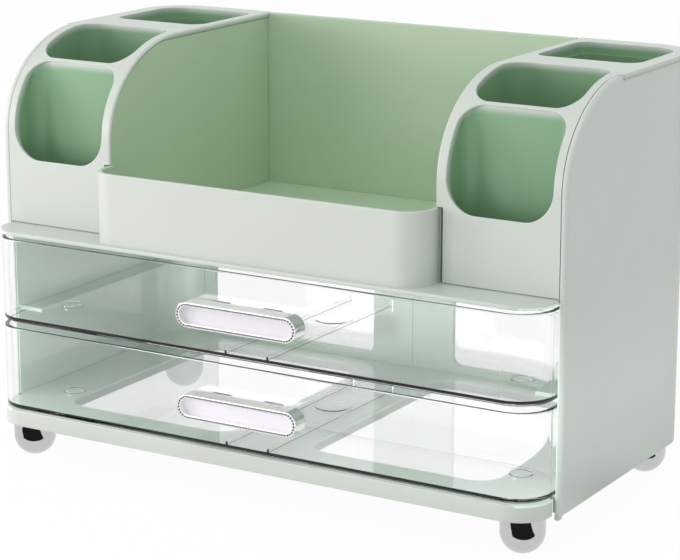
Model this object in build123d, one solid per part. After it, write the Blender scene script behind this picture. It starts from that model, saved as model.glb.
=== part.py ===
from build123d import *
import math
import os

# Desktop cosmetics organiser: two brush towers, an open centre tray and two
# clear drawers on a low base with four domed feet.
# Millimetres. X to the right, Y to the back, Z up. The exported origin is on
# the surface it stands on, under the middle of its overall width and depth.

os.makedirs("parts", exist_ok=True)

# ---------------------------------------------------------------- driving sizes
WIDTH = 320.0               # over the two side panels
BODY_FRONT = -75.0          # front of towers and side panels
BODY_BACK = 75.0            # back of the panels
NOSE_FRONT = -95.3          # front of roof plate, drawers and base
HEIGHT = 217.0              # standing surface to the top of the back
PANEL_T = 3.1               # side panels
REAR_R = 24.0               # upright rear corners, outside
BASE_LOW = 18.7             # underside of panels and base frame
ROOF_TOP = 121.5            # ledge that towers and tray stand on
ROOF_T = 2.2
GAP = 0.3                   # clearance between neighbouring pieces
SEAM = 0.5                  # open seams that show as dark lines

# tower profile, seen from the side: upright front, long arc, level top
ARC_Y = -15.0               # where the arc meets the level top
ARC_Z = 169.0               # where the upright front meets the arc
SKIN_T = 2.2                # moulded skin of the tower
LAP_T = 1.4                 # the skin's inner edge laps this thick over the liner
RIM_T = 2.6                 # level rim at the top rear, where it laps over
RIM_OVER = 0.6              # its overhang past the side and back panels
RIM_START = -34.0           # the rim starts to spread over the side panel
RIM_FULL = -18.0            # and covers it all from here
RIM_TURN = (1, 1)           # its heading where it reaches the outside
TOWER_IN = 92.6             # inner edge of the tower skin from the middle
TOWER_OUT = WIDTH / 2 - PANEL_T - GAP

# brush wells
WELL_X0, WELL_X1 = 98.0, 152.6
CUP_WALL = 1.6
CUP_FLOOR_TOP = 123.9
FRONT_WELL_BACK = -55.6
FRONT_WELL_R, FRONT_WELL_BACK_R = 3.0, 7.0
FRONT_MOUTH_LOW = 155.4
FRONT_LOW_R = 15.0
FRONT_HIGH_R = 11.0
MOUTH_IN = 12.0             # the mouth's own outline runs this deep
MOUTH_OUT = 30.0
MOUTH_LIP = 0.9             # its upper lip overhangs the well's back by this
MID_WELL_Y0, MID_WELL_Y1 = -54.0, -9.0
MID_R = 10.5
REAR_WELL_Y0, REAR_WELL_Y1 = 12.0, 66.0
REAR_SMALL_R = 8.0
REAR_BIG_R = 13.5
REAR_STEP_DROP = 6.0        # depth of the small ledge inside the rear well
REAR_STEP_IN = 1.8
REAR_STEP_T = 2.0

# centre compartment
TRAY_HALF = 94.1
TRAY_FRONT = -92.8
TRAY_TOP = 157.3
TRAY_T = 2.2
TRAY_R = 14.0
TRAY_FLOOR_T = 1.9
LINER_IN, LINER_OUT = 92.9, 94.5
NOTCH_X = 96.6              # tower skin stands back here to clear the tray

# back
BACK_T = 3.1
BACK_HALF = WIDTH / 2 - REAR_R - GAP
WINDOW_X0, WINDOW_X1 = 24.4, 129.0
WINDOW_Z0, WINDOW_Z1 = 33.2, 108.0
WINDOW_R = 5.0
CREASE_W, CREASE_D = 0.6, 0.5   # upright line down the middle, inside
CREASE_LOW = 29.3

# base frame
BASE_TOP = 27.3
BASE_T = 2.0
APRON_T = 2.4
BASE_HALF = WIDTH / 2 - PANEL_T - GAP
NOSE_R = 17.0
BASE_OPEN_X0, BASE_OPEN_X1 = 22.0, 124.0
BASE_OPEN_Y0, BASE_OPEN_Y1 = -76.0, 58.0
BASE_OPEN_R = 12.0
COLLAR_H = 5.0              # short wall round each opening
SLOT_IN = 3.2               # upright slot beside the nose of the base
SLOT_Y0, SLOT_Y1 = -77.0, -71.5
LUG_D, LUG_H = 3.6, 2.2     # foot of each side panel's front edge

# feet
FOOT_R = 10.9
FOOT_X = 142.6
FOOT_FRONT_Y, FOOT_BACK_Y = -78.9, 58.8
FOOT_CENTRE_Z = 10.3        # the dome is cut flat where it stands
STEM_R = 3.0
STEM_LOW = 9.0
STEM_UP = 6.0               # how far the stem runs up into its boss
BOSS_R = 6.6

# drawers
DRAWER_HALF = 156.3
DRAWER_BACK = 70.5
DRAWER_H = 43.4
DRAWER_T = 2.2
DRAWER_FLOOR_T = 2.4
DRAWER_R = 18.0
UPPER_Z = 74.1
LOWER_Z = 27.7
RIB_X = 12.0                # pair of low ribs on the drawer floor
RIB_W, RIB_H = 1.2, 1.6
RIB_END_Y = 27.0
RIB_END_UP = 1.4            # each rib ends in a small upstand
DISC_R, DISC_H = 9.5, 0.5   # low round pad in the middle of the floor
DISC_Y = -12.0
RING_R, RING_W, RING_H = 6.1, 0.9, 0.7
RING_X, RING_Y = 131.0, -58.0
SINK = 0.1                  # raised details start this far inside the floor
RUNNER_IN = 143.0
RUNNER_T = 2.0
RUNNER_Z = 71.6
RUNNER_FRONT_IN, RUNNER_BACK_IN = 6.0, 22.0

# pulls
PULL_L, PULL_H = 68.4, 12.6
PULL_OUT = 8.9
PULL_RIM = 2.1
PULL_CENTRE_UP = 21.7       # above the underside of the drawer
PLATE_SET_BACK = 3.8
PLATE_T = 1.2
BEAD_W, BEAD_H = 1.1, 0.45
CLIP_X, CLIP_W, CLIP_T = 14.8, 10.0, 1.6
CLIP_UP = 4.4
CLIP_LOW = 0.1
CLIP_SLOT = 0.3
BACKING_T = 1.6
HOOK_T, HOOK_PLAY = 1.4, 0.2
HOOK_DROP = 1.6

# edge radii
PANEL_EDGE_R = 2.0          # outside of the side panels
TOWER_EDGE_R = 1.2          # tower skin beside the compartment
SEAM_EDGE_R = 0.4           # side panel's edge beside the tower
MOUTH_EDGE_R = 0.5          # lips of the wells
TRAY_EDGE_R = 0.7
PLATE_EDGE_R = 0.7          # roof plate and base frame
WALL_EDGE_R = 0.8           # top of the back wall
DRAWER_FOOT_R = 1.9         # outside bottom edge of a drawer
DRAWER_LIP_R = 0.6          # top edge of a drawer
PULL_EDGE_R = 0.4

REACH = 1.0                 # how far a cutting shape runs past what it cuts
NEAR = 0.02                 # how close a point counts as on a surface


# ------------------------------------------------------------------- helpers
def block(x0, x1, y0, y1, z0, z1):
    """Box from its limits."""
    return Pos((x0 + x1) / 2, (y0 + y1) / 2, (z0 + z1) / 2) * Box(
        x1 - x0, y1 - y0, z1 - z0
    )


def prism_z(sketch, z0, z1):
    """Plan sketch raised from z0 to z1."""
    return extrude(Plane.XY.offset(z0) * sketch, amount=z1 - z0, dir=(0, 0, 1))


def prism_x(face, x0, x1):
    """Side profile, drawn as (Y, Z), swept from x0 to x1."""
    return extrude(Plane.YZ.offset(x0) * face, amount=x1 - x0, dir=(1, 0, 0))


def outline(*edges):
    """Face inside a closed run of edges."""
    return make_face(Wire(list(edges)))


def corner_arc(cx, cy, r, start):
    """Start, middle and end of a quarter turn about a corner's centre."""
    return [
        (cx + r * math.cos(math.radians(a)), cy + r * math.sin(math.radians(a)))
        for a in (start, start + 45, start + 90)
    ]


def rounded(x0, x1, y0, y1, radii):
    """Plan rectangle with a radius for each corner:
    front left, front right, back right, back left."""
    fl, fr, br, bl = radii
    corners = [
        corner_arc(x0 + fl, y0 + fl, fl, 180),
        corner_arc(x1 - fr, y0 + fr, fr, 270),
        corner_arc(x1 - br, y1 - br, br, 0),
        corner_arc(x0 + bl, y1 - bl, bl, 90),
    ]
    edges = []
    for i, ((start, middle, end), r) in enumerate(zip(corners, radii)):
        if r > 0:
            edges.append(ThreePointArc(start, middle, end))
        following = corners[(i + 1) % 4][0]
        if math.dist(end, following) > 1e-6:
            edges.append(Line(end, following))
    return outline(*edges)


def offset_rounded(x0, x1, y0, y1, radii, grow):
    """The same plan rectangle, grown all round."""
    return rounded(
        x0 - grow, x1 + grow, y0 - grow, y1 + grow, tuple(r + grow for r in radii)
    )


def stadium(length, height):
    """Slot shape with round ends, long way along X."""
    r = height / 2
    h = length / 2 - r
    return outline(
        Line((-h, -r), (h, -r)),
        ThreePointArc((h, -r), (h + r, 0), (h, r)),
        Line((h, r), (-h, r)),
        ThreePointArc((-h, r), (-h - r, 0), (-h, -r)),
    )


def arc_z(y):
    """Height of the tower's outline at depth y."""
    d = min(max((ARC_Y - y) / (ARC_Y - BODY_FRONT), 0.0), 1.0)
    return ARC_Z + (HEIGHT - ARC_Z) * math.sqrt(1 - d * d)


def tower_face(front, top, back, low):
    """Closed side outline: upright front, quarter-ellipse arc, level top."""
    return outline(
        Line((front, low), (front, ARC_Z)),
        EllipticalCenterArc(
            (ARC_Y, ARC_Z), ARC_Y - front, top - ARC_Z, start_angle=90, arc_size=90
        ),
        Line((ARC_Y, top), (back, top)),
        Line((back, top), (back, low)),
        Line((back, low), (front, low)),
    )


def on_tower_outline(point):
    """True if a point lies on the towers' outer front, arc or top."""
    if point.Z <= ARC_Z:
        return abs(point.Y - BODY_FRONT) < NEAR
    return abs(point.Z - arc_z(point.Y)) < NEAR


def along(edge, test):
    """True if the test holds at the edge's ends and middle."""
    return all(test(edge.position_at(u)) for u in (0.0, 0.5, 1.0))


def edges_where(shape, test):
    """The shape's edges that the test holds along."""
    return [edge for edge in shape.edges() if along(edge, test)]


def ease(shape, radius, test):
    """Rounds the edges that the test holds along."""
    return fillet(edges_where(shape, test), radius)


def level(z, *limits):
    """Test for edges at height z and within any further limits."""
    return lambda p: abs(p.Z - z) < NEAR and all(limit(p) for limit in limits)


def flip(shape):
    """The same piece on the other side."""
    return mirror(shape, about=Plane.YZ)


nodes = {}


# ------------------------------------------------------------- tower rim
def rim_plan(grow=0.0):
    """Plan of the level rim: it spreads out over the side panel in a long
    curve, then follows the outside to the back."""
    out = WIDTH / 2 + RIM_OVER + grow
    back = BODY_BACK + RIM_OVER + grow
    r = REAR_R + RIM_OVER + grow
    start = (TOWER_OUT + grow, RIM_START)
    full = (out, RIM_FULL)
    side_end, corner_mid, back_end = (
        (out, back - r),
        (out - r + r * math.sqrt(0.5), back - r + r * math.sqrt(0.5)),
        (out - r, back),
    )
    return outline(
        Line((TOWER_IN - grow, RIM_START), start),
        Spline(start, full, tangents=[(0, 1), RIM_TURN]),
        Line(full, side_end),
        ThreePointArc(side_end, corner_mid, back_end),
        Line(back_end, (TOWER_IN - grow, back)),
        Line((TOWER_IN - grow, back), (TOWER_IN - grow, RIM_START)),
    )


def rim_space(grow=0.0):
    """The rim's volume before the wells are cut: from a feather edge on the
    arc to its full thickness."""
    tip = arc_z(RIM_START)
    under = HEIGHT - RIM_T - grow
    top = HEIGHT + REACH
    side = outline(
        Line((RIM_START, tip - grow), (RIM_FULL, under)),
        Line((RIM_FULL, under), (BODY_BACK + RIM_OVER + REACH, under)),
        Line((BODY_BACK + RIM_OVER + REACH, under), (BODY_BACK + RIM_OVER + REACH, top)),
        Line((BODY_BACK + RIM_OVER + REACH, top), (RIM_START, top)),
        Line((RIM_START, top), (RIM_START, tip - grow)),
    )
    return prism_z(rim_plan(grow), ARC_Z, top) & prism_x(side, TOWER_IN - REACH, WIDTH)


# ------------------------------------------------------------- side panels
def side_panel():
    """Upright side with its front and top edges rounded outside. It wraps
    round the rear corner, and its top steps down under the tower's rim."""
    outer = rounded(0, WIDTH / 2, BODY_FRONT, BODY_BACK, (0, 0, REAR_R, 0))
    inner = rounded(
        -REACH,
        WIDTH / 2 - PANEL_T,
        BODY_FRONT - REACH,
        BODY_BACK - PANEL_T,
        (0, 0, REAR_R - PANEL_T, 0),
    )
    wall = prism_z(outer, BASE_LOW, HEIGHT) - prism_z(
        inner, BASE_LOW - REACH, HEIGHT + REACH
    )
    wall -= block(
        -REACH,
        WIDTH / 2 - REAR_R,
        BODY_FRONT - REACH,
        BODY_BACK + REACH,
        BASE_LOW - REACH,
        HEIGHT + REACH,
    )
    profile = tower_face(BODY_FRONT, HEIGHT, BODY_BACK, BASE_LOW)
    wall = wall & prism_x(profile, 0, WIDTH)
    for x, radius in ((WIDTH / 2, PANEL_EDGE_R), (WIDTH / 2 - PANEL_T, SEAM_EDGE_R)):
        wall = ease(
            wall, radius, lambda p, x=x: abs(p.X - x) < NEAR and on_tower_outline(p)
        )
    wall -= rim_space(GAP)
    wall += block(
        WIDTH / 2 - PANEL_T,
        WIDTH / 2 - PANEL_EDGE_R / 2,
        BODY_FRONT,
        BODY_FRONT + LUG_D,
        BASE_LOW - LUG_H,
        BASE_LOW + SEAM,
    )
    return wall


panel = side_panel()
nodes["right_side_panel"] = panel
nodes["left_side_panel"] = flip(panel)


# -------------------------------------------------------------------- back
def back_panel():
    """Lower back behind the drawers, with a window for each half."""
    panel = block(
        -BACK_HALF, BACK_HALF, BODY_BACK - BACK_T, BODY_BACK, BASE_LOW, ROOF_TOP - GAP
    )
    window = rounded(WINDOW_X0, WINDOW_X1, WINDOW_Z0, WINDOW_Z1, (WINDOW_R,) * 4)
    behind = Plane((0, BODY_BACK + REACH, 0), x_dir=(1, 0, 0), z_dir=(0, -1, 0))
    for face in (window, flip(window)):
        panel -= extrude(behind * face, amount=BACK_T + 2 * REACH)
    inside = BODY_BACK - BACK_T
    panel -= block(
        -CREASE_W / 2, CREASE_W / 2, inside - REACH, inside + CREASE_D, CREASE_LOW, ROOF_TOP
    )
    return panel


def compartment_back_wall():
    """Upper back: level with the towers' rims between them, and stopping
    under the rims at each side."""
    y0 = BODY_BACK - BACK_T
    middle_half = TOWER_IN - GAP
    wall = block(
        -BACK_HALF, BACK_HALF, y0, BODY_BACK, ROOF_TOP, HEIGHT - RIM_T - GAP
    ) + block(-middle_half, middle_half, y0, BODY_BACK, ROOF_TOP, HEIGHT)
    return ease(
        wall,
        WALL_EDGE_R,
        level(HEIGHT, lambda p: abs(p.Y - y0) < NEAR or abs(p.Y - BODY_BACK) < NEAR),
    )


nodes["back_panel"] = back_panel()
nodes["compartment_back_wall"] = compartment_back_wall()

# -------------------------------------------------------------- roof plate
INNER_BACK = BODY_BACK - BACK_T - GAP
REAR_IN_R = REAR_R - PANEL_T - GAP


def nosed_plate(half, z0, z1):
    """Plan of the cabinet with a rounded nose, between two heights. Its
    front edges are eased ahead of the side panels."""
    ahead = rounded(-half, half, NOSE_FRONT, BODY_FRONT, (NOSE_R, NOSE_R, 0, 0))
    plate = prism_z(ahead, z0, z1)
    for z in (z0, z1):
        plate = ease(plate, PLATE_EDGE_R, level(z, lambda p: p.Y < BODY_FRONT - NEAR))
    rear = rounded(-half, half, BODY_FRONT, INNER_BACK, (0, 0, REAR_IN_R, REAR_IN_R))
    return plate + prism_z(rear, z0, z1)


nodes["roof_plate"] = nosed_plate(TOWER_OUT, ROOF_TOP - ROOF_T, ROOF_TOP)

# -------------------------------------------------------------- base frame
FOOT_SPOTS = {
    "front_right": (FOOT_X, FOOT_FRONT_Y),
    "front_left": (-FOOT_X, FOOT_FRONT_Y),
    "rear_right": (FOOT_X, FOOT_BACK_Y),
    "rear_left": (-FOOT_X, FOOT_BACK_Y),
}


def base_frame():
    """Shallow tray turned upside down, with two openings, a collar round
    each, and a boss over each foot."""
    base = nosed_plate(BASE_HALF, BASE_LOW, BASE_TOP)
    hollow = rounded(
        -BASE_HALF + APRON_T,
        BASE_HALF - APRON_T,
        NOSE_FRONT + APRON_T,
        INNER_BACK - APRON_T,
        (NOSE_R - APRON_T,) * 2 + (REAR_IN_R - APRON_T,) * 2,
    )
    solid = base
    base = base - prism_z(hollow, BASE_LOW - REACH, BASE_TOP - BASE_T)
    limits = (BASE_OPEN_X0, BASE_OPEN_X1, BASE_OPEN_Y0, BASE_OPEN_Y1, (BASE_OPEN_R,) * 4)
    collar = prism_z(
        offset_rounded(*limits, APRON_T), BASE_TOP - COLLAR_H, BASE_TOP - BASE_T / 2
    )
    opening = prism_z(rounded(*limits), BASE_LOW - REACH, BASE_TOP + REACH)
    base += collar + flip(collar)
    base -= opening
    base -= flip(opening)
    boss_h = BASE_TOP - BASE_LOW - BASE_T / 2
    for x, y in FOOT_SPOTS.values():
        base += Pos(x, y, BASE_LOW + boss_h / 2) * Cylinder(BOSS_R, boss_h) & solid
    for x, y in FOOT_SPOTS.values():
        base -= Pos(x, y, BASE_LOW + STEM_UP / 2) * Cylinder(STEM_R, STEM_UP)
    slot_x = BASE_HALF - SLOT_IN
    slot = block(
        slot_x, BASE_HALF + REACH, SLOT_Y0, SLOT_Y1, BASE_LOW - REACH, BASE_TOP + REACH
    )
    backing = block(
        slot_x - APRON_T, slot_x, SLOT_Y0 - REACH, SLOT_Y1 + REACH, BASE_LOW, BASE_TOP
    )
    return (base + backing + flip(backing)) - slot - flip(slot)


nodes["base_frame"] = base_frame()


# -------------------------------------------------------------------- feet
def foot():
    """Domed glide with a bore for its stem."""
    drum_h = BASE_LOW - FOOT_CENTRE_Z
    ball = Pos(0, 0, FOOT_CENTRE_Z) * Sphere(FOOT_R)
    lower_half = block(-FOOT_R, FOOT_R, -FOOT_R, FOOT_R, 0, FOOT_CENTRE_Z)
    drum = Pos(0, 0, FOOT_CENTRE_Z + drum_h / 2) * Cylinder(FOOT_R, drum_h)
    bore_h = BASE_LOW - STEM_LOW + REACH
    bore = Pos(0, 0, STEM_LOW + bore_h / 2) * Cylinder(STEM_R, bore_h)
    return (ball & lower_half) + drum - bore


def stem():
    """Pin that holds a foot in its boss."""
    height = BASE_LOW + STEM_UP - STEM_LOW
    return Pos(0, 0, STEM_LOW + height / 2) * Cylinder(STEM_R, height)


for name, (x, y) in FOOT_SPOTS.items():
    nodes[name + "_foot"] = Pos(x, y, 0) * foot()
    nodes[name + "_foot_stem"] = Pos(x, y, 0) * stem()

# ---------------------------------------------------------- drawer runners
runner = block(
    RUNNER_IN,
    TOWER_OUT + GAP,
    BODY_FRONT + RUNNER_FRONT_IN,
    INNER_BACK - RUNNER_BACK_IN,
    RUNNER_Z,
    RUNNER_Z + RUNNER_T,
)
nodes["right_drawer_runner"] = runner
nodes["left_drawer_runner"] = flip(runner)

# ------------------------------------------------------------ brush towers
FRONT_WELL = (
    WELL_X0,
    WELL_X1,
    BODY_FRONT + SKIN_T,
    FRONT_WELL_BACK,
    (FRONT_WELL_R, FRONT_WELL_R, FRONT_WELL_BACK_R, FRONT_WELL_BACK_R),
)
MIDDLE_WELL = (WELL_X0, WELL_X1, MID_WELL_Y0, MID_WELL_Y1, (MID_R,) * 4)
REAR_MOUTH = (
    WELL_X0,
    WELL_X1,
    REAR_WELL_Y0,
    REAR_WELL_Y1,
    (REAR_SMALL_R, REAR_SMALL_R, REAR_BIG_R, REAR_SMALL_R),
)


def tower_skin():
    """The tower's outer shell, open behind and below, and the solid inside
    of its outline, which trims the wells."""
    plan = prism_z(
        rounded(TOWER_IN, TOWER_OUT, BODY_FRONT - REACH, INNER_BACK, (0, 0, REAR_IN_R, 0)),
        ROOF_TOP - REACH,
        HEIGHT + REACH,
    )
    full = plan & prism_x(
        tower_face(BODY_FRONT, HEIGHT, INNER_BACK, ROOF_TOP), TOWER_IN, TOWER_OUT
    )
    within = prism_x(
        tower_face(
            BODY_FRONT + SKIN_T, HEIGHT - SKIN_T, INNER_BACK + REACH, ROOF_TOP - REACH
        ),
        TOWER_IN - REACH,
        WIDTH,
    )
    return full, within


def front_mouth():
    """The slanted front well's mouth: a rounded outline seen square to the
    slope, cut out through the skin and a little way in."""
    low = (BODY_FRONT, FRONT_MOUTH_LOW)
    lip = FRONT_WELL_BACK - MOUTH_LIP
    high = (lip, arc_z(lip))
    length = math.dist(low, high)
    dy, dz = (high[0] - low[0]) / length, (high[1] - low[1]) / length
    slope = Plane(
        (0, (low[0] + high[0]) / 2, (low[1] + high[1]) / 2),
        x_dir=(1, 0, 0),
        z_dir=(0, -dz, dy),
    )
    face = rounded(
        WELL_X0,
        WELL_X1,
        -length / 2,
        length / 2,
        (FRONT_LOW_R, FRONT_LOW_R, FRONT_HIGH_R, FRONT_HIGH_R),
    )
    outward = extrude(slope * face, amount=MOUTH_OUT)
    inward = extrude(slope * face, amount=-MOUTH_IN)
    back_r = FRONT_WELL_BACK_R
    over_well = rounded(
        WELL_X0, WELL_X1, BODY_FRONT - REACH, FRONT_WELL_BACK, (0, 0, back_r, back_r)
    )
    return outward + (inward & prism_z(over_well, ROOF_TOP, HEIGHT))


def brush_tower():
    """Curved skin with three wells. Each well is a cup with its own wall."""
    full, within = tower_skin()
    body = full - within
    # the skin's inner edge is thinned, so that it laps over the liner
    lapped = prism_x(
        tower_face(BODY_FRONT + LAP_T, HEIGHT - LAP_T, BODY_BACK, ROOF_TOP - REACH),
        TOWER_IN - REACH,
        LINER_OUT + GAP,
    )
    body -= lapped

    rear_inner = offset_rounded(*REAR_MOUTH, -REAR_STEP_IN)
    cups = prism_z(offset_rounded(*FRONT_WELL, CUP_WALL), ROOF_TOP, HEIGHT)
    cups += prism_z(offset_rounded(*MIDDLE_WELL, CUP_WALL), ROOF_TOP, HEIGHT)
    cups += prism_z(
        offset_rounded(*REAR_MOUTH, CUP_WALL - REAR_STEP_IN), ROOF_TOP, HEIGHT
    )
    cups += prism_z(
        offset_rounded(*REAR_MOUTH, CUP_WALL),
        HEIGHT - REAR_STEP_DROP - REAR_STEP_T,
        HEIGHT,
    )
    under_top = prism_x(
        tower_face(BODY_FRONT, HEIGHT, BODY_BACK + REACH, ROOF_TOP),
        TOWER_IN - REACH,
        WIDTH,
    )
    body = body + (cups & full) + (rim_space() & under_top)

    # wells and their mouths
    top = HEIGHT + REACH
    body -= prism_z(rounded(*FRONT_WELL), CUP_FLOOR_TOP, top) & within
    body -= prism_z(rounded(*MIDDLE_WELL), CUP_FLOOR_TOP, top)
    body -= prism_z(rear_inner, CUP_FLOOR_TOP, top)
    body -= prism_z(rounded(*REAR_MOUTH), HEIGHT - REAR_STEP_DROP, top)
    body -= front_mouth()
    # the skin stands back beside the tray, and clear of the ledge below
    skin_back = BODY_FRONT + SKIN_T
    body -= block(
        TOWER_IN - REACH,
        NOTCH_X,
        BODY_FRONT - REACH,
        skin_back + GAP,
        ROOF_TOP - REACH,
        TRAY_TOP + GAP,
    )
    body -= block(
        TOWER_IN - REACH,
        TOWER_OUT + REACH,
        BODY_FRONT - REACH,
        BODY_FRONT + SKIN_T / 2,
        ROOF_TOP - REACH,
        ROOF_TOP + SEAM,
    )
    return body


def ease_tower(body):
    """Rounds the lips of the wells and the long edges of the skin."""

    def mouth(p):
        return (
            WELL_X0 - NEAR < p.X < WELL_X1 + NEAR
            and p.Z > FRONT_MOUTH_LOW - NEAR
            and p.Y < REAR_WELL_Y1 + NEAR
            and on_tower_outline(p)
        )

    def inner_edge(p):
        return abs(p.X - TOWER_IN) < NEAR and p.Z > TRAY_TOP and on_tower_outline(p)

    body = ease(body, MOUTH_EDGE_R, mouth)
    return ease(body, TOWER_EDGE_R, inner_edge)


tower = ease_tower(brush_tower())
nodes["right_brush_tower"] = tower
nodes["left_brush_tower"] = flip(tower)

# ------------------------------------------------------ centre compartment
liner = prism_x(
    tower_face(
        BODY_FRONT + LAP_T + SEAM,
        HEIGHT - LAP_T - SEAM,
        INNER_BACK,
        ROOF_TOP,
    ),
    LINER_IN,
    LINER_OUT,
) - rim_space(GAP)
nodes["right_compartment_wall"] = liner
nodes["left_compartment_wall"] = flip(liner)


def centre_tray():
    """Shallow front tray that carries on as the compartment's floor."""
    back = BODY_FRONT + LAP_T + SEAM - GAP
    outer = rounded(-TRAY_HALF, TRAY_HALF, TRAY_FRONT, back, (TRAY_R, TRAY_R, 0, 0))
    inner_r = TRAY_R - TRAY_T
    inner = rounded(
        -TRAY_HALF + TRAY_T,
        TRAY_HALF - TRAY_T,
        TRAY_FRONT + TRAY_T,
        back + REACH,
        (inner_r, inner_r, 0, 0),
    )
    tray = prism_z(outer, ROOF_TOP, TRAY_TOP) - prism_z(
        inner, ROOF_TOP + TRAY_FLOOR_T, TRAY_TOP + REACH
    )
    tray = ease(tray, TRAY_EDGE_R, level(TRAY_TOP, lambda p: p.Y < back - NEAR))
    floor_half = LINER_IN - GAP
    return tray + block(
        -floor_half,
        floor_half,
        BODY_FRONT,
        INNER_BACK,
        ROOF_TOP,
        ROOF_TOP + TRAY_FLOOR_T,
    )


nodes["centre_tray"] = centre_tray()


# ----------------------------------------------------------------- drawers
def drawer_tub(z):
    """Clear drawer: rounded box with eased edges, floor details and slots
    for the pull's clips."""
    radii = (DRAWER_R, DRAWER_R, REAR_R - PANEL_T, REAR_R - PANEL_T)
    limits = (-DRAWER_HALF, DRAWER_HALF, NOSE_FRONT, DRAWER_BACK, radii)
    floor = z + DRAWER_FLOOR_T
    tub = prism_z(rounded(*limits), z, z + DRAWER_H)
    tub = ease(tub, DRAWER_FOOT_R, level(z))
    tub -= prism_z(offset_rounded(*limits, -DRAWER_T), floor, z + DRAWER_H + REACH)
    tub = ease(tub, DRAWER_LIP_R, level(z + DRAWER_H))
    for side in (1, -1):
        x = side * RIB_X
        x0, x1 = x - RIB_W / 2, x + RIB_W / 2
        rib_front = NOSE_FRONT + DRAWER_T / 2
        tub += block(x0, x1, rib_front, RIB_END_Y, floor - SINK, floor + RIB_H)
        tub += block(
            x0, x1, RIB_END_Y - RIB_W, RIB_END_Y, floor - SINK, floor + RIB_H + RIB_END_UP
        )
        ring = Cylinder(RING_R, RING_H + SINK) - Cylinder(RING_R - RING_W, RING_H + REACH)
        tub += Pos(side * RING_X, RING_Y, floor + (RING_H - SINK) / 2) * ring
    disc = Cylinder(DISC_R, DISC_H + SINK)
    tub += Pos(0, DISC_Y, floor + (DISC_H - SINK) / 2) * disc
    clip_top = z + PULL_CENTRE_UP + CLIP_UP
    for side in (1, -1):
        x = side * CLIP_X
        half = CLIP_W / 2 + CLIP_SLOT
        tub -= block(
            x - half,
            x + half,
            NOSE_FRONT - REACH,
            NOSE_FRONT + DRAWER_T + REACH,
            clip_top - CLIP_T - CLIP_LOW - CLIP_SLOT,
            clip_top + CLIP_SLOT,
        )
    return tub


def pull(z):
    """Oval pull: chrome rim with a deep well, bead line, pale plate and the
    dark backing that clips through the drawer front."""
    centre = z + PULL_CENTRE_UP
    at = Plane((0, NOSE_FRONT, centre), x_dir=(1, 0, 0), z_dir=(0, -1, 0))
    in_l, in_h = PULL_L - 2 * PULL_RIM, PULL_H - 2 * PULL_RIM
    mid_l, mid_h = PULL_L - PULL_RIM, PULL_H - PULL_RIM
    front = NOSE_FRONT - PULL_OUT
    ring = extrude(at * stadium(PULL_L, PULL_H), amount=PULL_OUT) - extrude(
        at.offset(-REACH) * stadium(in_l, in_h), amount=PULL_OUT + 2 * REACH
    )
    ring = ease(ring, PULL_EDGE_R, lambda p: abs(p.Y - front) < NEAR)
    crest = at.offset(PULL_OUT)
    bead_line = extrude(
        crest * stadium(mid_l + BEAD_W, mid_h + BEAD_W), amount=BEAD_H
    ) - extrude(
        crest.offset(-REACH) * stadium(mid_l - BEAD_W, mid_h - BEAD_W),
        amount=BEAD_H + 2 * REACH,
    )
    plate = extrude(
        at.offset(PULL_OUT - PLATE_SET_BACK - PLATE_T) * stadium(in_l, in_h),
        amount=PLATE_T,
    )
    backing = extrude(at * stadium(in_l, in_h), amount=BACKING_T)
    hook_y = NOSE_FRONT + DRAWER_T + HOOK_PLAY
    clip_z = centre + CLIP_UP
    for side in (1, -1):
        x0, x1 = side * CLIP_X - CLIP_W / 2, side * CLIP_X + CLIP_W / 2
        low = clip_z - CLIP_T - CLIP_LOW
        backing += block(
            x0, x1, NOSE_FRONT - BACKING_T, hook_y + HOOK_T, low, clip_z - CLIP_SLOT
        )
        backing += block(
            x0, x1, hook_y, hook_y + HOOK_T, low, centre + CLIP_UP + HOOK_DROP
        )
    return {
        "pull_rim": ring,
        "pull_bead_line": bead_line,
        "pull_plate": plate,
        "pull_backing": backing,
    }


for level_name, z in (("upper", UPPER_Z), ("lower", LOWER_Z)):
    nodes[level_name + "_drawer_tub"] = drawer_tub(z)
    for piece, shape in pull(z).items():
        nodes[level_name + "_" + piece] = shape

# ------------------------------------------------------------------ export
# the depths above are measured from the middle of the side panels
OVERALL_FRONT = NOSE_FRONT - PULL_OUT - BEAD_H
OVERALL_BACK = BODY_BACK + RIM_OVER
ORIGIN_SHIFT = -(OVERALL_FRONT + OVERALL_BACK) / 2
for name, shape in nodes.items():
    shape = Pos(0, ORIGIN_SHIFT, 0) * shape
    solids = shape.solids()
    shape = solids[0] if len(solids) == 1 else Compound(children=list(solids))
    shape.label = name
    export_step(shape, "parts/" + name + ".step")
    print(name, len(solids), round(shape.volume), shape.is_valid)
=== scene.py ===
import math

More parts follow.
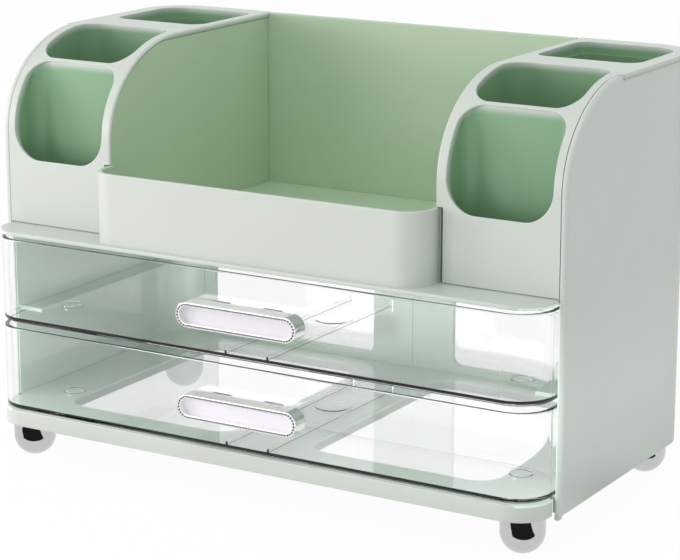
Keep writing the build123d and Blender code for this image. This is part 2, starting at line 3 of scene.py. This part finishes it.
import bpy
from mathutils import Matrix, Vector


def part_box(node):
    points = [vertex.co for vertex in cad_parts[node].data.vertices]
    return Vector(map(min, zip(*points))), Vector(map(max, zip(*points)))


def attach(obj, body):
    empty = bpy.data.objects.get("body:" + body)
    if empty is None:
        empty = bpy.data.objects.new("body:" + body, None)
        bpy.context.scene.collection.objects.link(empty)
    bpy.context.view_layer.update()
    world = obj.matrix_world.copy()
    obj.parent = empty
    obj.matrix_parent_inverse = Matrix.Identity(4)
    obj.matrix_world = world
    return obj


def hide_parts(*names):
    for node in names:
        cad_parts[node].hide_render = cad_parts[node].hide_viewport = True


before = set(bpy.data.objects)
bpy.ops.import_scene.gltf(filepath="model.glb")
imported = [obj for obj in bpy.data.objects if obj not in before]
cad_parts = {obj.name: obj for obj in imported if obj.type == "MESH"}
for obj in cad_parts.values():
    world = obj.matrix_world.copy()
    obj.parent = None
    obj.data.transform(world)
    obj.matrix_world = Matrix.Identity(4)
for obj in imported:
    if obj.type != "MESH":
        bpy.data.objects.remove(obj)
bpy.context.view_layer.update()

# Desktop cosmetics organiser: mint mouldings, two clear drawers with beaded
# chrome pulls, and four chrome feet. Metres, in the frame's own axes.

# half way between the cabinet's front and back
BODY_MIDDLE_Y = 0.014525

# the towers' side outline: upright front, then an elliptic arc to the level
# top, about this centre
ARC_Y = BODY_MIDDLE_Y - 0.015
ARC_Z = 0.169
ARC_DEPTH = 0.060
ARC_RISE = 0.048
# where the painted shade down inside the wells starts, and where it is full
WELL_SHADE_STARTS, WELL_SHADE_FULL = 0.985, 0.84     # squared share of the arc's radius

# the open compartment between the towers, out to the middle of its walls, where the
# painted shade tone goes
ROOM = dict(
    half=0.0930,
    front=BODY_MIDDLE_Y - 0.0917,
    back=BODY_MIDDLE_Y + 0.0735,
    low=0.1222,
    high=1.0,
    rounded="front",
    corner=0.0129,
)
# the space for the drawers, out to the middle of the plates round it, where the painted
# light tone goes
CABINET = dict(
    half=0.1573,
    front=BODY_MIDDLE_Y - 0.0940,
    back=BODY_MIDDLE_Y + 0.0723,
    low=0.0263,
    high=0.1204,
    rounded="back",
    corner=0.0213,
)
SHARP = 0.0004              # how soon one tone gives way to the other

# colours of the mint plastic, by what a surface faces: the pale tone is the plastic's
# own, the others are painted shade and painted light
PALE_MINT = (0.568, 0.626, 0.570)
# painted shade: a deeper, darker tone for the compartment between the towers
ROOM_PAINTED_SHADE = (0.460, 0.595, 0.430)
# painted shade: a dark green tone down inside the towers' wells
WELL_PAINTED_SHADE = (0.205, 0.375, 0.215)
# painted light: a lighter, greener tone for the faces round the drawers
CABINET_PAINTED_LIGHT = (0.760, 0.910, 0.790)
MOTTLE_PALE = 1.025         # how far the mottling lifts the pale tone
MOTTLE_INSIDE = 1.03        # and the other tones
ORANGE_PEEL = dict(scale=900.0, distance=0.00004, strength=0.2)

# other colours
CLEAR_TINT = (0.994, 0.998, 0.996)
STYRENE_IOR = 1.49
CHROME_DARKER = 0.96        # how far the polishing haze darkens plated metal
BLACK = (0.02, 0.02, 0.02)
WHITE = (1.0, 1.0, 1.0)
NOISE_LOW, NOISE_HIGH = 0.3, 0.7         # where a noise's values mostly lie

# beads round each pull, in near-black metal: painted shade standing for the dark gaps
# between bright beads
BEAD_R = 0.00055
BEAD_COUNT = 93
BEAD_SEGMENTS, BEAD_RINGS = 10, 6
BEAD_SMOOTH = math.radians(50)
BEAD_PATH_LONG = 0.0663
BEAD_PATH_HIGH = 0.0105
BEAD_SEAT_Y = BODY_MIDDLE_Y - 0.1041     # their centres, just behind the rim's crest

# surroundings
FLOOR_SIZE = 8.0
FLOOR_GREYS = (0.84, 0.84, 0.84), (0.86, 0.86, 0.86)
FLOOR_ROUGH = 0.9
FLOOR_WHITE = 0.96          # share of plain white in the floor as it is seen
WORLD_STRENGTH = 0.75

# black boards on the floor, from the middle of a foot towards the camera
BOARD_FEET = ("front_left_foot", "front_right_foot", "rear_right_foot")
BOARD_WAY = (0.519, -0.855)
BOARD_AHEAD = 0.050
BOARD_ASIDE = 0.010
BOARD_LONG = 0.050
BOARD_WIDE = 0.080
BOARD_UP = 0.0006

# lamps and camera
AIM = (0.0, 0.0, 0.12)
STRIP_SPREAD = math.radians(4)
CAMERA_PLACE = (0.6116, -1.0084, 0.3956)
CAMERA_AIM = (0.0049, 0.0, 0.0981)
CAMERA_LENS = 126.9
CAMERA_SENSOR = 36.0


# ------------------------------------------------------------------ node trees
def new_material(name):
    """An empty node material and its tree, with the output in place."""
    material = bpy.data.materials.new(name)
    material.use_nodes = True
    tree = material.node_tree
    tree.nodes.clear()
    output = tree.nodes.new("ShaderNodeOutputMaterial")
    return material, tree, output


def node(tree, kind, **values):
    """A shader node with its attributes set."""
    made = tree.nodes.new(kind)
    for name, value in values.items():
        setattr(made, name, value)
    return made


def object_space(tree):
    """The object's own coordinates."""
    return node(tree, "ShaderNodeTexCoord").outputs["Object"]


def noise(tree, scale, detail=2.0):
    """Noise over the object's own metres."""
    made = node(tree, "ShaderNodeTexNoise")
    made.inputs["Scale"].default_value = scale
    made.inputs["Detail"].default_value = detail
    tree.links.new(object_space(tree), made.inputs["Vector"])
    return made.outputs["Fac"]


def remap(tree, source, from_low, from_high, low, high, kind="LINEAR"):
    """Maps a value from one range to another, and holds it there."""
    made = node(tree, "ShaderNodeMapRange", interpolation_type=kind)
    made.inputs["From Min"].default_value = from_low
    made.inputs["From Max"].default_value = from_high
    made.inputs["To Min"].default_value = low
    made.inputs["To Max"].default_value = high
    tree.links.new(source, made.inputs["Value"])
    return made.outputs["Result"]


def spread(tree, source, low, high):
    """Maps a noise's usual range to low..high."""
    return remap(tree, source, NOISE_LOW, NOISE_HIGH, low, high)


def arithmetic(tree, operation, first, second=0.0):
    """A Math node on a link and a number or another link."""
    made = node(tree, "ShaderNodeMath", operation=operation)
    tree.links.new(first, made.inputs[0])
    if isinstance(second, (int, float)):
        made.inputs[1].default_value = second
    else:
        tree.links.new(second, made.inputs[1])
    return made.outputs["Value"]


def two_tone(tree, factor, first, second):
    """One colour blending into another by a factor. Either may be a link."""
    made = node(tree, "ShaderNodeMix", data_type="RGBA")
    for slot, colour in (("A", first), ("B", second)):
        if isinstance(colour, (tuple, list)):
            made.inputs[slot].default_value = (*colour, 1.0)
        else:
            tree.links.new(colour, made.inputs[slot])
    tree.links.new(factor, made.inputs["Factor"])
    return made.outputs["Result"]


def bump(tree, height, distance, strength):
    """A surface normal stirred by a height."""
    made = node(tree, "ShaderNodeBump")
    made.inputs["Distance"].default_value = distance
    made.inputs["Strength"].default_value = strength
    tree.links.new(height, made.inputs["Height"])
    return made.outputs["Normal"]


def choose(tree, factor, first, second, output):
    """Puts the first shader on the output where the factor is 0, and the
    second where it is 1."""
    made = node(tree, "ShaderNodeMixShader")
    tree.links.new(factor, made.inputs["Fac"])
    tree.links.new(first, made.inputs[1])
    tree.links.new(second, made.inputs[2])
    tree.links.new(made.outputs["Shader"], output.inputs["Surface"])


def lighter(colour, by):
    """A colour times a number."""
    return [channel * by for channel in colour]


# ------------------------------------------------------------------ zones of painted shade and light
def beyond(tree, value):
    """The square of a value where it is above 0, else 0."""
    return arithmetic(tree, "POWER", arithmetic(tree, "MAXIMUM", value), 2.0)


def well_shade_mask(tree, x, y, z):
    """Mask of the painted shade in the towers' wells: 0 on the towers' outside, rising
    to 1 down inside their wells.
    """
    ahead = arithmetic(
        tree, "MULTIPLY", arithmetic(tree, "SUBTRACT", y, ARC_Y), -1.0 / ARC_DEPTH
    )
    above = arithmetic(
        tree, "MULTIPLY", arithmetic(tree, "SUBTRACT", z, ARC_Z), 1.0 / ARC_RISE
    )
    out = arithmetic(tree, "ADD", beyond(tree, ahead), beyond(tree, above))
    return remap(tree, out, WELL_SHADE_STARTS, WELL_SHADE_FULL, 0.0, 1.0, "SMOOTHSTEP")


def between(tree, value, low, high):
    """1 from low to high, 0 outside."""
    return arithmetic(
        tree,
        "MULTIPLY",
        remap(tree, value, low - SHARP, low, 0.0, 1.0),
        remap(tree, value, high, high + SHARP, 1.0, 0.0),
    )


def inside(zone):
    """A function for the mask of a zone: 1 inside it, 0 outside. Both upright
    corners at the zone's front or back are rounded."""
    corner = zone["corner"]
    way = 1.0 if zone["rounded"] == "back" else -1.0
    round_x = zone["half"] - corner
    round_y = zone[zone["rounded"]] - way * corner

    def mask(tree, x, y, z):
        beside = arithmetic(tree, "SUBTRACT", arithmetic(tree, "ABSOLUTE", x), round_x)
        along = arithmetic(
            tree, "MULTIPLY", arithmetic(tree, "SUBTRACT", y, round_y), way
        )
        out = arithmetic(tree, "ADD", beyond(tree, beside), beyond(tree, along))
        out = arithmetic(tree, "POWER", out, 0.5)
        plan = arithmetic(
            tree,
            "MULTIPLY",
            remap(tree, out, corner, corner + SHARP, 1.0, 0.0),
            between(tree, y, zone["front"], zone["back"]),
        )
        return arithmetic(
            tree, "MULTIPLY", plan, between(tree, z, zone["low"], zone["high"])
        )

    return mask


# ------------------------------------------------------------------ materials
def one_shader(name):
    """A material with one Principled shader on its output."""
    material, tree, output = new_material(name)
    shader = node(tree, "ShaderNodeBsdfPrincipled")
    tree.links.new(shader.outputs["BSDF"], output.inputs["Surface"])
    return material, tree, shader


def mint_plastic(name, *painted_zones):
    """Satin moulded plastic whose tone, inside each zone given, gives way to that zone's
    tone of painted shade and light: faint mottling of the colour and gloss, and a fine
    orange-peel skin."""
    material, tree, shader = one_shader(name)
    place = node(tree, "ShaderNodeSeparateXYZ")
    tree.links.new(object_space(tree), place.inputs["Vector"])
    mottle = spread(tree, noise(tree, 22.0, 3.0), 0.0, 1.0)
    colour = two_tone(tree, mottle, PALE_MINT, lighter(PALE_MINT, MOTTLE_PALE))
    # each zone's painted shade and painted light tone replaces the plastic's own tone
    # there
    for mask, tone in painted_zones:
        here = mask(tree, place.outputs["X"], place.outputs["Y"], place.outputs["Z"])
        inner = two_tone(tree, mottle, tone, lighter(tone, MOTTLE_INSIDE))
        colour = two_tone(tree, here, colour, inner)
    tree.links.new(colour, shader.inputs["Base Color"])
    gloss = spread(tree, noise(tree, 160.0), 0.34, 0.40)
    tree.links.new(gloss, shader.inputs["Roughness"])
    skin = bump(
        tree,
        noise(tree, ORANGE_PEEL["scale"]),
        ORANGE_PEEL["distance"],
        ORANGE_PEEL["strength"],
    )
    tree.links.new(skin, shader.inputs["Normal"])
    return material


def clear_plastic():
    """Clear moulded styrene: bends what is behind it, and lets lamps and the
    light between the cabinet's inner faces through."""
    material, tree, output = new_material("clear_plastic")
    shader = node(tree, "ShaderNodeBsdfPrincipled")
    shader.inputs["Base Color"].default_value = (*CLEAR_TINT, 1.0)
    shader.inputs["IOR"].default_value = STYRENE_IOR
    shader.inputs["Transmission Weight"].default_value = 1.0
    gloss = spread(tree, noise(tree, 60.0), 0.0, 0.02)
    tree.links.new(gloss, shader.inputs["Roughness"])
    through = node(tree, "ShaderNodeBsdfTransparent")
    through.inputs["Color"].default_value = (*CLEAR_TINT, 1.0)
    path = node(tree, "ShaderNodeLightPath")
    lighting = arithmetic(
        tree, "MAXIMUM", path.outputs["Is Shadow Ray"], path.outputs["Is Diffuse Ray"]
    )
    choose(tree, lighting, shader.outputs["BSDF"], through.outputs["BSDF"], output)
    return material


def mottled(name, colours, colour_noise, gloss, gloss_noise):
    """One shader whose colour and roughness each vary between two values."""
    material, tree, shader = one_shader(name)
    colour = two_tone(tree, spread(tree, noise(tree, *colour_noise), 0.0, 1.0), *colours)
    tree.links.new(colour, shader.inputs["Base Color"])
    rough = spread(tree, noise(tree, *gloss_noise), *gloss)
    tree.links.new(rough, shader.inputs["Roughness"])
    return material, shader


def chrome(name, tint, gloss):
    """Plated metal with faint polishing haze."""
    colours = tint, lighter(tint, CHROME_DARKER)
    material, shader = mottled(name, colours, (260.0,), gloss, (420.0, 3.0))
    shader.inputs["Metallic"].default_value = 1.0
    return material


def smooth_plastic(name, colours, gloss):
    """Plain moulded plastic in one colour with faint mottling."""
    return mottled(name, colours, (120.0,), gloss, (300.0,))[0]


# the other mint parts: painted shade in the compartment between the towers, painted
# light in the space for the drawers
MINT = mint_plastic(
    "mint_plastic", (inside(ROOM), ROOM_PAINTED_SHADE), (inside(CABINET), CABINET_PAINTED_LIGHT)
)
# the towers' mint, darkened down inside the wells by painted shade
TOWER_MINT = mint_plastic("mint_plastic_tower", (well_shade_mask, WELL_PAINTED_SHADE))
CLEAR = clear_plastic()
FOOT_CHROME = chrome("foot_chrome", (0.56, 0.56, 0.57), (0.03, 0.07))
PULL_CHROME = chrome("pull_chrome", (0.90, 0.89, 0.90), (0.05, 0.11))
# painted shade: near-black metal on the beads for the dark gaps between them
BEAD_PAINTED_SHADE = chrome("bead_painted_shade", (0.045, 0.045, 0.050), (0.16, 0.24))
STEM_STEEL = chrome("stem_steel", (0.62, 0.62, 0.63), (0.22, 0.34))
PALE_INSERT = smooth_plastic(
    "pale_insert", ((0.735, 0.725, 0.775), (0.745, 0.735, 0.785)), (0.28, 0.31)
)
DARK_PLASTIC = smooth_plastic(
    "dark_plastic", ((0.045, 0.050, 0.048), (0.060, 0.064, 0.062)), (0.30, 0.42)
)


# ------------------------------------------------------------------ finishes
# by how a frame node's name ends; the rest are mint
FINISHES = (
    ("_brush_tower", TOWER_MINT),
    ("_tub", CLEAR),
    ("_foot", FOOT_CHROME),
    ("_stem", STEM_STEEL),
    ("_pull_rim", PULL_CHROME),
    ("_pull_bead_line", PULL_CHROME),
    ("_pull_plate", PALE_INSERT),
    ("_pull_backing", DARK_PLASTIC),
)


def finish_of(name):
    """The material of a frame node, by its name."""
    for ending, material in FINISHES:
        if name.endswith(ending):
            return material
    return MINT


def paint(obj, material):
    """One material over the whole object."""
    obj.data.materials.clear()
    obj.data.materials.append(material)


for name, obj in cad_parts.items():
    paint(obj, finish_of(name))


# ------------------------------------------------------------------ pull beads
def nothing_selected():
    """Deselects every object."""
    bpy.ops.object.select_all(action="DESELECT")


def bead_spots():
    """Points round the pull's rim, evenly spaced, from its centre."""
    r = BEAD_PATH_HIGH / 2
    half = BEAD_PATH_LONG / 2 - r
    straight, turn = 2 * half, math.pi * r
    step = 2 * (straight + turn) / BEAD_COUNT
    spots = []
    for i in range(BEAD_COUNT):
        along = i * step
        if along < straight:
            spots.append((along - half, -r))
        elif along < straight + turn:
            a = (along - straight) / r - math.pi / 2
            spots.append((half + r * math.cos(a), r * math.sin(a)))
        elif along < 2 * straight + turn:
            spots.append((half - (along - straight - turn), r))
        else:
            a = (along - 2 * straight - turn) / r + math.pi / 2
            spots.append((-half + r * math.cos(a), r * math.sin(a)))
    return spots


def one_bead():
    """A low bead: a sphere cut off flat at the back, half a radius behind
    its centre."""
    nothing_selected()
    bpy.ops.mesh.primitive_uv_sphere_add(
        segments=BEAD_SEGMENTS, ring_count=BEAD_RINGS, radius=BEAD_R
    )
    bead = bpy.context.object
    bpy.ops.object.mode_set(mode="EDIT")
    bpy.ops.mesh.select_all(action="SELECT")
    bpy.ops.mesh.bisect(
        plane_co=(0.0, BEAD_R / 2, 0.0),
        plane_no=(0.0, 1.0, 0.0),
        clear_outer=True,
        use_fill=True,
    )
    bpy.ops.object.mode_set(mode="OBJECT")
    bpy.ops.object.shade_smooth_by_angle(angle=BEAD_SMOOTH)
    return bead


def bead_ring(level):
    """The row of beads round one pull, in place of its plain bead line."""
    low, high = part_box(level + "_pull_bead_line")
    centre_x, centre_z = (low[0] + high[0]) / 2, (low[2] + high[2]) / 2
    model = one_bead()
    beads = []
    for x, z in bead_spots():
        bead = model.copy()
        bead.data = model.data.copy()
        bpy.context.scene.collection.objects.link(bead)
        bead.location = (centre_x + x, BEAD_SEAT_Y, centre_z + z)
        beads.append(bead)
    bpy.data.objects.remove(model)
    nothing_selected()
    for bead in beads:
        bead.select_set(True)
    bpy.context.view_layer.objects.active = beads[0]
    bpy.ops.object.transform_apply(location=True, rotation=True, scale=True)
    bpy.ops.object.join()
    ring = bpy.context.object
    ring.name = level + "_pull_beads"
    # the beads take the near-black painted shade
    paint(ring, BEAD_PAINTED_SHADE)
    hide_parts(level + "_pull_bead_line")
    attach(ring, level + "_drawer")


for level in ("upper", "lower"):
    bead_ring(level)


# ------------------------------------------------------------------ surroundings
def seen_directly(tree):
    """1 for rays from the camera and those that chrome or clear plastic
    sends on, 0 for the rays that light the object."""
    path = node(tree, "ShaderNodeLightPath")
    seen = arithmetic(
        tree, "MAXIMUM", path.outputs["Is Camera Ray"], path.outputs["Is Glossy Ray"]
    )
    return arithmetic(tree, "MAXIMUM", seen, path.outputs["Is Transmission Ray"])


def floor():
    """A pale floor, nearly plain white where it is seen, that shows a faint
    shadow of the object."""
    bpy.ops.mesh.primitive_plane_add(size=FLOOR_SIZE, location=(0.0, 0.0, 0.0))
    made = bpy.context.object
    made.name = "pale_floor"
    material, tree, output = new_material("pale_floor")
    shader = node(tree, "ShaderNodeBsdfPrincipled")
    mottle = spread(tree, noise(tree, 6.0), 0.0, 1.0)
    tree.links.new(two_tone(tree, mottle, *FLOOR_GREYS), shader.inputs["Base Color"])
    shader.inputs["Roughness"].default_value = FLOOR_ROUGH
    white = node(tree, "ShaderNodeEmission")
    white.inputs["Strength"].default_value = 1.0
    seen = arithmetic(tree, "MULTIPLY", seen_directly(tree), FLOOR_WHITE)
    choose(tree, seen, shader.outputs["BSDF"], white.outputs["Emission"], output)
    paint(made, material)


def background(tree, strength):
    """An even white background shader."""
    made = node(tree, "ShaderNodeBackground")
    made.inputs["Color"].default_value = (*WHITE, 1.0)
    made.inputs["Strength"].default_value = strength
    return made.outputs["Background"]


def studio_world():
    """Even white surroundings, plain white where they are seen."""
    world = bpy.data.worlds.new("studio")
    bpy.context.scene.world = world
    world.use_nodes = True
    tree = world.node_tree
    tree.nodes.clear()
    output = node(tree, "ShaderNodeOutputWorld")
    fill, plain = background(tree, WORLD_STRENGTH), background(tree, 1.0)
    choose(tree, seen_directly(tree), fill, plain, output)


def towards(place, target):
    """The turn that faces an object's -Z from a place to a target."""
    return (Vector(target) - Vector(place)).to_track_quat("-Z", "Y").to_euler()


def softbox(name, place, target, size, power, tint=WHITE):
    """A rectangular soft lamp facing a point."""
    lamp = bpy.data.lights.new(name, "AREA")
    lamp.shape = "RECTANGLE"
    lamp.size, lamp.size_y = size
    lamp.energy = power
    lamp.color = tint
    made = bpy.data.objects.new(name, lamp)
    bpy.context.scene.collection.objects.link(made)
    made.location = place
    made.rotation_euler = towards(place, target)
    return made


def dark_board(foot):
    """A black board on the floor before a foot, that only reflections show."""
    low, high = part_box(foot)
    across = Vector((BOARD_WAY[1], -BOARD_WAY[0]))
    middle = Vector(((low[0] + high[0]) / 2, (low[1] + high[1]) / 2))
    middle += Vector(BOARD_WAY) * BOARD_AHEAD + across * BOARD_ASIDE
    bpy.ops.mesh.primitive_plane_add(
        size=1.0,
        location=(*middle, BOARD_UP),
        rotation=(0.0, 0.0, math.atan2(BOARD_WAY[1], BOARD_WAY[0])),
    )
    made = bpy.context.object
    made.name = foot + "_board"
    made.scale = (BOARD_LONG, BOARD_WIDE, 1.0)
    material, tree, output = new_material("black_board")
    black = node(tree, "ShaderNodeEmission")
    black.inputs["Color"].default_value = (*BLACK, 1.0)
    tree.links.new(black.outputs["Emission"], output.inputs["Surface"])
    paint(made, material)
    made.visible_camera = False
    made.visible_diffuse = False
    made.visible_transmission = False
    made.visible_shadow = False


def camera():
    """The photograph's view: from the front right, a little above."""
    made = bpy.data.objects.new("camera", bpy.data.cameras.new("camera"))
    bpy.context.scene.collection.objects.link(made)
    made.data.sensor_width = CAMERA_SENSOR
    made.data.lens = CAMERA_LENS
    made.location = CAMERA_PLACE
    made.rotation_euler = towards(CAMERA_PLACE, CAMERA_AIM)
    bpy.context.scene.camera = made


floor()
studio_world()
softbox(
    "key",
    place=(-1.04, -0.60, 0.30),
    target=AIM,
    size=(0.36, 0.36),
    power=4.6,
    tint=(1.0, 0.90, 0.94),
)
softbox(
    "side_key",
    place=(-0.60, -1.04, 0.30),
    target=AIM,
    size=(0.40, 0.40),
    power=2.2,
    tint=(1.0, 0.92, 0.95),
)
softbox("top", place=(0.10, -0.45, 1.50), target=AIM, size=(1.0, 1.0), power=3.5)
strip = softbox(
    "strip",
    place=(0.26, -1.17, 0.065),
    target=(-0.04, 0.0, 0.065),
    size=(0.9, 0.05),
    power=0.05,
)
strip.data.spread = STRIP_SPREAD
for foot in BOARD_FEET:
    dark_board(foot)
camera()

bpy.context.scene.view_settings.view_transform = "Standard"
